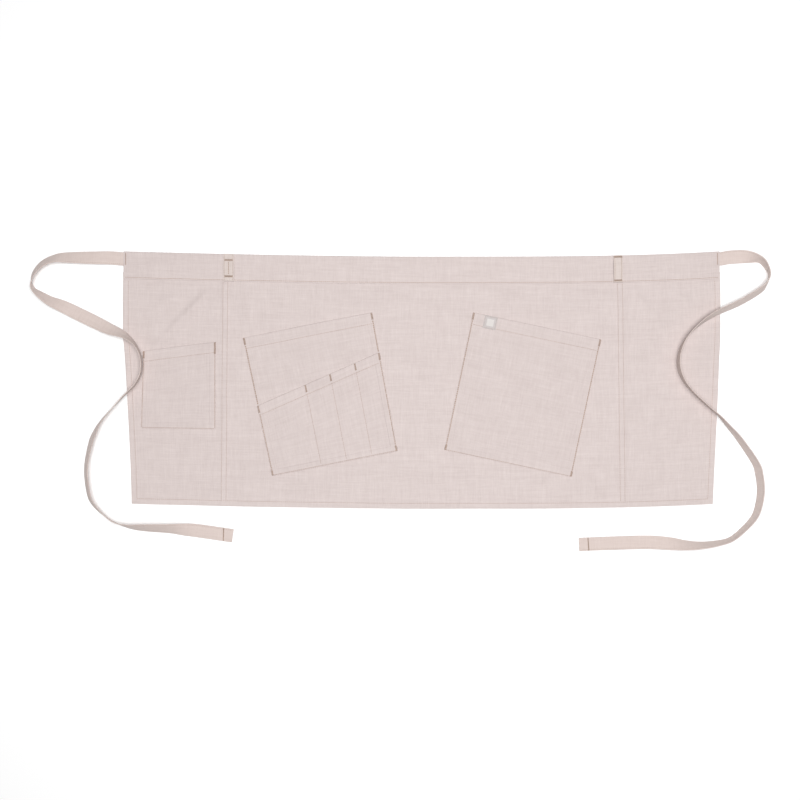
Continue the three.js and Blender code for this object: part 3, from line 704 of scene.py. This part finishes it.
hemmed = (HEM, HEM_STITCH, 0.6)
make_panel("left", lambda y: -side_edge(y, True), lambda y: left_seam(y) + SEAM_LAP,
           hemmed)
centre_width = RIGHT_SEAM - LEFT_SEAM
felled = SEAM_STITCHES + (SEAM_ALLOWANCE + 0.7,)
make_panel("centre", lambda y: left_seam(y) + GAP / 2, lambda y: right_seam(y) - GAP / 2,
           felled + tuple(centre_width + 4 - away for away in felled))
right_width = HALF - RIGHT_SEAM
make_panel("right", lambda y: right_seam(y) - SEAM_LAP, side_edge,
           tuple(right_width - drawn_in - away for drawn_in in (8, 0) for away in hemmed))


def on_face(face, x, y):
    """Points for a line of stitches over the cut cloth, on a face that gives its height."""
    x, y = np.broadcast_arrays(np.asarray(x, float), np.asarray(y, float))
    laid_x, laid_y = bowed(x, y)
    return np.column_stack([laid_x, laid_y, face(x, y) + LIFT])


seam_top = BAND_FOOT - 1.2
down_side = np.linspace(seam_top, BOTTOM + HEM_STITCH, 160)
foot_sides = side_edge(BOTTOM + HEM_STITCH, np.array([True, False])) - HEM_STITCH
along_foot = np.linspace(-foot_sides[0], foot_sides[1], 500)
hem_line = np.vstack([
    on_face(panel_face, HEM_STITCH - side_edge(down_side, True), down_side),
    on_face(panel_face, along_foot, BOTTOM + HEM_STITCH),
    on_face(panel_face, side_edge(down_side) - HEM_STITCH, down_side)[::-1],
])
stitch_row("hem_stitches", hem_line, seam_thread, nodes=["hem_stitch"])
for side, seam, inwards in (("left", left_seam, 1), ("right", right_seam, -1)):
    for number, line in enumerate(SEAM_STITCHES, 1):
        ys = np.linspace(seam_top, BOTTOM + HEM_STITCH + 1.2, 160)
        sewn = on_face(panel_face, seam(ys) + inwards * line, ys)
        stitch_row(f"{side}_seam_stitches_{number}", sewn, seam_thread,
                   nodes=[f"{side}_seam_stitch_{number}"])

# ---- Waistband -----------------------------------------------------------------------------------


def band_face(x, y):
    """Height of the waistband's front: a little full over its stiffener, sewn down at its foot."""
    up = y - BAND_FOOT
    full = 0.35 * np.sin(np.clip(up / BAND, 0, 1) * math.pi) + 0.12 * waves(SHORT_WAVES, x * 0.8, y)
    past = np.maximum(0, up - BAND + BAND_FOLD) / BAND_FOLD
    fold = np.sqrt(np.clip(1 - past ** 2, 0, 1)) - 1
    return BAND_TOP + full + fold + sewn_groove(up - BAND_STITCH, x, 0.4) - 0.3 * ridge(up, 0.5)


def make_waistband():
    fold_y = TOP - BAND_FOLD
    heights = stations(BAND_FOOT, fold_y, 4.0, (BAND_FOOT + BAND_STITCH,))
    stops = stations(-BAND_HALF, BAND_HALF, MESH_STEP)
    turn = np.linspace(-math.pi / 2, math.pi / 2, 9)[1:-1]
    outer, inner = BAND_TOP / 2, BAND_TOP / 2 - CLOTH
    loop = [("back", y, 0.05) for y in heights]
    loop += [("fold", fold_y + 1.5 * math.cos(t), outer + outer * math.sin(t)) for t in turn]
    loop += [("front", y, 0) for y in heights[::-1]]
    loop += [("front", y, -CLOTH) for y in heights]
    loop += [("fold", fold_y + 0.9 * math.cos(t), outer - inner * math.sin(t)) for t in turn]
    loop += [("back", y, 0.05 + CLOTH) for y in heights[::-1]]
    columns = []
    for kind, y, lift in loop:
        height = band_face(stops, y) + lift if kind == "front" else np.full(len(stops), lift)
        laid_x, laid_y = bowed(stops, y)
        columns.append(np.column_stack([laid_x, laid_y, height]))
    points = np.stack(columns, axis=1)
    count, size = points.shape[:2]
    uvs = np.column_stack([np.repeat(stops, size), np.tile(distances(points[0]), count)])
    band = add_mesh("waistband_linen", points.reshape(-1, 3), loft_faces(count, size, True), uvs)
    finish_piece(band, linen, "linen", "waistband")


make_waistband()
band_run = np.linspace(-BAND_HALF + BAND_STITCH, BAND_HALF - BAND_STITCH, 600)
stitch_row("waistband_stitches", on_face(band_face, band_run, BAND_FOOT + BAND_STITCH),
           nodes=["waistband_stitch"])
for side, sign in (("left", -1), ("right", 1)):
    x = sign * (BAND_HALF - 3)
    ends_at = [TOP - TIE_DROP - TIE_BAR / 2, TOP - TIE_DROP + TIE_BAR / 2]
    low, high = on_face(band_face, [x, x], ends_at)
    bar_tack(f"{side}_tie_tack", low, high, [f"{side}_tie_bar"], 1.6, seam_thread)
cad["waistband_interlining"].data.materials.clear()
cad["waistband_interlining"].data.materials.append(stiffener)

# ---- Belt loops ----------------------------------------------------------------------------------


def make_belt_loop(side, top_bar, bottom_bar, folded):
    """A strip tacked over the band and slack between its tacks. top_bar and bottom_bar are how far
    below the band's top the tacks are, and folded is 1 if its edges meet in a sewn middle, or 0."""
    node = f"{side}_belt_loop"
    left, right = ends(node, 0)
    width, middle = right - left, (left + right) / 2
    centre, half = (top_bar + bottom_bar) / 2, (bottom_bar - top_bar) / 2
    edge_lines = (left + LOOP_EDGE_STITCH, right - LOOP_EDGE_STITCH)
    columns = stations(left, right, 1.6, edge_lines + (middle,))
    rows = stations(0.4, BAND - 0.4, 1.6, (top_bar, bottom_bar))[::-1]

    def top(x, down):
        slack = 1.5 * np.cos(np.clip((down - centre) / half, -1, 1) * math.pi / 2) ** 2
        edge = np.minimum(x - left, right - x)
        groove = sewn_groove(edge - LOOP_EDGE_STITCH, down) - 0.45 * folded * ridge(x - middle, 0.8)
        tacked = -0.3 * (ridge(down - top_bar, 1.4) + ridge(down - bottom_bar, 1.4))
        return BAND_TOP + 2.4 + slack + groove + tacked - 0.35 * ridge(edge, 0.5)

    def place(x, down):
        return bowed(x, TOP - down)

    def bottom(x, down):
        return top(x, down) - 1.5 + 0.2 * ridge(np.minimum(x - left, right - x), 0.5)

    loop = sheet(f"{side}_belt_loop_linen", columns, rows, place, top, bottom,
                 lambda x, down: (x, TOP - down))
    finish_piece(loop, loop_linen, "linen", node)

    def on_loop(x, down):
        x, down = np.broadcast_arrays(np.asarray(x, float), np.asarray(down, float))
        laid_x, laid_y = place(x, down)
        return np.column_stack([laid_x, laid_y, top(x, down) + LIFT])

    run = np.linspace(1, BAND - 1, 60)
    for number, x in enumerate(edge_lines, 1):
        stitch_row(f"{side}_belt_loop_stitches_{number}", on_loop(x, run),
                   seam_thread if folded else topstitch, pitch=FINE_PITCH, width=0.55)
    if folded:
        between_bars = np.linspace(top_bar + 2, bottom_bar - 2, 30)
        stitch_row(f"{side}_belt_loop_middle_stitches", on_loop(middle, between_bars),
                   pitch=FINE_PITCH, width=1.1)
    for end, down in (("top", top_bar), ("bottom", bottom_bar)):
        first, last = on_loop([middle - LOOP_BAR / 2, middle + LOOP_BAR / 2], [down, down])
        bar_tack(f"{side}_belt_loop_{end}_tack", first, last, [f"{node}_{end}_bar"])


make_belt_loop("left", top_bar=9.6, bottom_bar=33.8, folded=1)
make_belt_loop("right", top_bar=2.6, bottom_bar=38.0, folded=0)

# ---- Pockets -------------------------------------------------------------------------------------


def corners(node):
    """The four corners of a pocket's plan, foot left, foot right, mouth left, mouth right."""
    plan = np.array([vertex.co[:2] for vertex in cad[node].data.vertices]) / MM
    return [plan[np.argmax(plan @ np.array(way))] for way in ((-1, -1), (1, -1), (-1, 1), (1, 1))]


class Layer:
    """A pocket's layer: a goes across from 0 to 1 and up is how far above its foot, in
    millimetres. gape is how far it stands off, and seams are the shares across where it is sewn
    down to the panels, or to the layer that it is on."""

    def __init__(self, node, hem, gape, seams=(0, 1), on=None):
        self.foot_left, self.foot_right, self.mouth_left, self.mouth_right = corners(node)
        self.width = float(np.linalg.norm(self.foot_right - self.foot_left))
        self.inset = EDGE_STITCH / self.width
        self.sides = (("left", self.inset), ("right", 1 - self.inset))
        self.hem, self.gape, self.seams, self.on = hem, gape, seams, on
        self.left = float(np.linalg.norm(self.mouth_left - self.foot_left))
        self.right = float(np.linalg.norm(self.mouth_right - self.foot_right))

    def height(self, a):
        return self.left + (self.right - self.left) * a

    def place(self, a, up):
        if self.on:
            return self.on.place(a, up)
        share = up / self.height(a)
        low = self.foot_left[:, None] * (1 - a) + self.foot_right[:, None] * a
        high = self.mouth_left[:, None] * (1 - a) + self.mouth_right[:, None] * a
        return tuple(low * (1 - share) + high * share)

    def top(self, a, up):
        a, up = np.broadcast_arrays(np.asarray(a, float), np.asarray(up, float))
        under = self.on.top(a, up) if self.on else self.panel(a, up)
        across = a * self.width
        to_side = np.minimum(across, self.width - across)
        to_mouth = self.height(a) - up
        lift = 0
        for left, right in zip(self.seams, self.seams[1:]):
            share = np.clip((a - left) / (right - left), 0, 1)
            lift = lift + np.sin(share * math.pi) ** 1.3
        share = np.clip((up - 4) / self.height(a), 0, 1)
        rise = self.gape * lift * np.sin(share * math.pi / 2) ** 1.4
        turned = np.maximum(turned_edge(to_side, 8.5, 0.4), turned_edge(up, 8.5, 0.4))
        hem = np.maximum(0.45 * (1 - soft_step(to_mouth, self.hem, self.hem + 1.2)), turned)
        height = under + GAP + CLOTH + rise + hem - 0.25 * ridge(to_mouth, 0.6)
        height = height + sewn_groove(to_side - EDGE_STITCH, up, 0.35)
        height = height + sewn_groove(up - EDGE_STITCH, across, 0.35)
        height = height + sewn_groove(to_mouth - self.hem + 0.8, across, 0.3)
        for seam in self.seams[1:-1]:
            height = height + sewn_groove(across - seam * self.width, up, 0.45)
        return height

    def panel(self, a, up):
        """Height of the panels' face under it, where they are one flat layer."""
        x, y = self.place(a, up)
        return PANEL_TOP + lie(x, 2 * y - bowed(x, y)[1])

    def on_face(self, a, up):
        """Points on its face, for a line of stitches."""
        a, up = np.broadcast_arrays(np.asarray(a, float), np.asarray(up, float))
        x, y = self.place(a, up)
        return np.column_stack([x, y, self.top(a, up) + LIFT])

    def make(self, name, node):
        close = [0.6, EDGE_STITCH, 9.0]
        lines = close + [self.width - away for away in close]
        lines += [seam * self.width for seam in self.seams[1:-1]]
        columns = stations(0, self.width, 2.8, lines) / self.width
        tall = self.height(0.5)
        hem_lines = [tall - self.hem, tall - self.hem + 0.8, tall - 0.6]
        rows = stations(0, tall, 2.8, close + hem_lines) / tall
        a = columns[None, :]

        def strand(share, inset, drop):
            """One row of points, inset from the mouth and dropped below the pocket's face."""
            up = self.row(a, share) - inset
            x, y = self.place(a, up)
            return np.column_stack([x.ravel(), y.ravel(), (self.top(a, up) - drop).ravel()])

        # up the face, over the mouth, and back down under it as the turned hem
        outer = [strand(b, 0, 0) for b in rows[:-1]]
        inner = [strand(b, 0, CLOTH) for b in rows[:-1]]
        for inset, drop, inside in ((0.35, 0.05, CLOTH), (0, CLOTH, CLOTH),
                                    (0.35, 2 * CLOTH - 0.1, CLOTH + 0.06)):
            outer.append(strand(rows[-1], inset, drop))
            inner.append(strand(rows[-1], max(inset, 0.35) + 0.25 * (inset == 0), inside))
        under_hem = np.linspace(2.5, self.hem, 7)
        for inset in under_hem:
            outer.append(strand(rows[-1], inset, 2 * CLOTH + 0.1))
            inner.append(strand(rows[-1], inset, CLOTH + 0.1))
        points = np.vstack(outer + inner)
        gone = np.concatenate([rows * tall, tall + np.array([0.6, 1.2]), tall + under_hem])
        across, along = np.meshgrid(columns * self.width + 37, gone + 11)
        uvs = np.tile(np.column_stack([across.ravel(), along.ravel()]), (2, 1))
        piece = add_mesh(name, points, grid_faces(len(columns), len(gone)), uvs)
        finish_piece(piece, pocket_linen, "linen", node)
        cut_width, turned = self.width + 2 * POCKET_TURNING, self.hem + POCKET_TURNING
        cut_height = max(self.left, self.right) + turned

    def row(self, a, b):
        """Rows keep their distance from the foot low down and from the mouth high up."""
        tall = self.height(0.5)
        up = b * tall
        slack = self.height(a) - tall
        return up + slack * soft_step(up, tall * 0.15, tall - self.hem - 6)


def foot_row(name, layer, inset, node):
    foot = np.linspace(inset, 1 - inset, 90)
    stitch_row(f"{name}_foot", layer.on_face(foot, EDGE_STITCH), seam_thread, nodes=[node],
               width=0.9)


def edge_rows(name, layer, node, side_thread_and_shade_width):
    """The outline stitches of a pocket: down both sides, and along the foot in a paler thread."""
    # the side rows are drawn wider than real thread: part of their width is painted shade of the
    # pocket's turned edge beside the stitches
    for side, a in layer.sides:
        run = np.linspace(EDGE_STITCH, layer.height(a) - BAR - 0.6, 90)
        stitch_row(f"{name}_{side}", layer.on_face(a, run), nodes=[node], width=side_thread_and_shade_width)
    foot_row(name, layer, layer.inset, node)


def hem_row(name, layer, node):
    inset = (EDGE_STITCH + 1) / layer.width
    across = np.linspace(inset, 1 - inset, 120)
    stitch_row(name, layer.on_face(across, layer.height(across) - layer.hem + 0.8), seam_thread,
               nodes=[node])


def upright_tack(name, layer, a, low, high, node):
    first, last = layer.on_face([a, a], [low, high])
    bar_tack(name, first, last, [node])


def mouth_tack(name, layer, a, node, length=BAR):
    tall = float(layer.height(a))
    upright_tack(name, layer, a, tall - length, tall - 0.6, node)


def foot_tacks(pocket, layer):
    for side, a in layer.sides:
        upright_tack(f"{pocket}_foot_{side}_tack", layer, a, 0.8, 0.8 + FOOT_BAR,
                     f"{pocket}_foot_{side}_bar")


def make_plain_pocket(pocket, hem, side_thread_and_shade_width, right_bar=BAR):
    layer = Layer(pocket, hem, POCKET_GAPE)
    layer.make(f"{pocket}_linen", pocket)
    edge_rows(f"{pocket}_stitches", layer, f"{pocket}_stitch", side_thread_and_shade_width)
    hem_row(f"{pocket}_hem_stitches", layer, f"{pocket}_hem_stitch")
    for (side, a), length in zip(layer.sides, (BAR, right_bar)):
        mouth_tack(f"{pocket}_top_{side}_tack", layer, a, f"{pocket}_top_{side}_bar", length)
    return layer


# side rows wider than their thread, the hand pocket's most: part of that width is painted shade of
# the turned edges
make_plain_pocket("phone_pocket", PHONE_HEM, 0.8, PHONE_RIGHT_BAR)
hand = make_plain_pocket("hand_pocket", HAND_HEM, 1.5)
foot_tacks("hand_pocket", hand)

tool = Layer("tool_pocket", TOOL_HEM, POCKET_GAPE)
slot_seams = [0] + [1 - k * SLOT_WIDTH / tool.width for k in range(SLOT_COUNT, 0, -1)] + [1]
slots = Layer("pen_slot_layer", SLOT_HEM, SLOT_GAPE, slot_seams, tool)
tool.make("tool_pocket_linen", "tool_pocket")
slots.make("pen_slot_linen", "pen_slot_layer")
for side, a in tool.sides:
    over = slots.on_face(a, np.linspace(EDGE_STITCH, slots.height(a) - BAR - 0.8, 60))
    above = tool.on_face(a, np.linspace(slots.height(a) + 1.0, tool.height(a) - BAR - 0.6, 60))
    # side rows wider than their thread, widest above the slot layer: part of that width is painted
    # shade of the pocket's turned edge
    for part, run, width in (("lower", over, 1.3), ("upper", above, 1.7)):
        stitch_row(f"tool_pocket_stitches_{side}_{part}", run, nodes=["tool_pocket_stitch"],
                   width=width)
foot_row("tool_pocket_stitches", slots, tool.inset, "tool_pocket_stitch")
hem_row("tool_pocket_hem_stitches", tool, "tool_pocket_hem_stitch")
hem_row("slot_layer_hem_stitches", slots, "slot_layer_hem_stitch")
for side, a in tool.sides:
    mouth_tack(f"tool_pocket_top_{side}_tack", tool, a, f"tool_pocket_top_{side}_bar")
foot_tacks("tool_pocket", slots)
for side, a in tool.sides:
    mouth_tack(f"slot_layer_{side}_tack", slots, a, f"slot_layer_{side}_bar")
for number, a in enumerate(slot_seams[1:-1], 1):
    tall = float(slots.height(a))
    run = np.linspace(EDGE_STITCH + 1.2, tall - BAR - 0.8, 80)
    stitch_row(f"slot_{number}_stitches", slots.on_face(a, run), seam_thread,
               nodes=[f"slot_{number}_stitch"])
    mouth_tack(f"slot_{number}_tack", slots, a, f"slot_{number}_bar")

# ---- Label ---------------------------------------------------------------------------------------


def make_label():
    """A folded damask square with a paler woven square in it, sewn over the hand pocket's hem."""
    tall = float(hand.height(0.1))
    edge_row = 1.4

    def on_hand(u, v):
        return (LABEL_FROM_LEFT + u) / hand.width, tall - LABEL + v - 0.3

    def place(u, v):
        return hand.place(*on_hand(u, v))

    def top(u, v):
        edge = np.minimum(np.minimum(u, LABEL - u), np.minimum(v, LABEL - v))
        grooves = sewn_groove(edge - edge_row, u + v, 0.2) - 0.35 * ridge(edge, 0.5)
        return hand.top(*on_hand(u, v)) + 1.0 + grooves

    lines = (0.6, edge_row, LABEL - 0.6, LABEL - edge_row, 4.5, LABEL - 4.5)
    spots = stations(0, LABEL, 1.2, lines)
    label = sheet("woven_label_cloth", spots, spots, place, top, lambda u, v: top(u, v) - 0.5,
                  lambda u, v: (u, v))
    finish_piece(label, label_cloth, "woven_label", "woven_label")
    label.data.materials.append(label_centre)
    centre = np.array(place(np.array([LABEL / 2]), np.array([LABEL / 2]))).ravel()
    turn = math.atan2(*(hand.foot_right - hand.foot_left)[::-1])
    for face in label.data.polygons:
        spot = np.array(face.center[:2]) / MM - centre
        u = spot[0] * math.cos(turn) + spot[1] * math.sin(turn)
        v = spot[1] * math.cos(turn) - spot[0] * math.sin(turn)
        if face.normal[2] > 0.5 and max(abs(u), abs(v)) < LABEL / 2 - LABEL_BORDER:
            face.material_index = 1
    run = np.linspace(edge_row, LABEL - edge_row, 12)
    low, high = np.full(12, edge_row), np.full(12, LABEL - edge_row)
    ring_u = np.concatenate([run, high, run[::-1], low])
    ring_v = np.concatenate([low, run, high, run[::-1]])
    x, y = place(ring_u, ring_v)
    stitch_row("woven_label_stitches", np.column_stack([x, y, top(ring_u, ring_v) + 0.1]),
               seam_thread, pitch=2.0, width=0.4)


make_label()

# ---- Floor and light -----------------------------------------------------------------------------

bpy.ops.object.select_all(action="DESELECT")
FLOOR_SIZE, FLOOR_Z = 8, -0.0006  # metres; just clear of the hem's underside
bpy.ops.mesh.primitive_plane_add(size=FLOOR_SIZE, location=(0, 0, FLOOR_Z))
floor = bpy.context.object
floor.name = "paper_floor"
paper, _, paper_shader = new_material("white_studio_paper")
paper_shader.inputs["Base Color"].default_value = linear("#fcfcfc")
paper_shader.inputs["Roughness"].default_value = 0.9
floor.data.materials.append(paper)


def softbox(name, place, size, power):
    light = bpy.data.lights.new(name, "AREA")
    light.shape = "RECTANGLE"
    light.size, light.size_y = size
    light.energy = power
    lamp = bpy.data.objects.new(name, light)
    lamp.location = place
    bpy.context.scene.collection.objects.link(lamp)


softbox("overhead_softbox", (0.1, 0, 2.4), (1.5, 1.2), 69)
world = bpy.data.worlds.new("studio")
world.use_nodes = True
world.node_tree.nodes["Background"].inputs["Color"].default_value = (1, 1, 1, 1)
world.node_tree.nodes["Background"].inputs["Strength"].default_value = 0.15
bpy.context.scene.world = world
bpy.context.scene.view_settings.view_transform = "Standard"
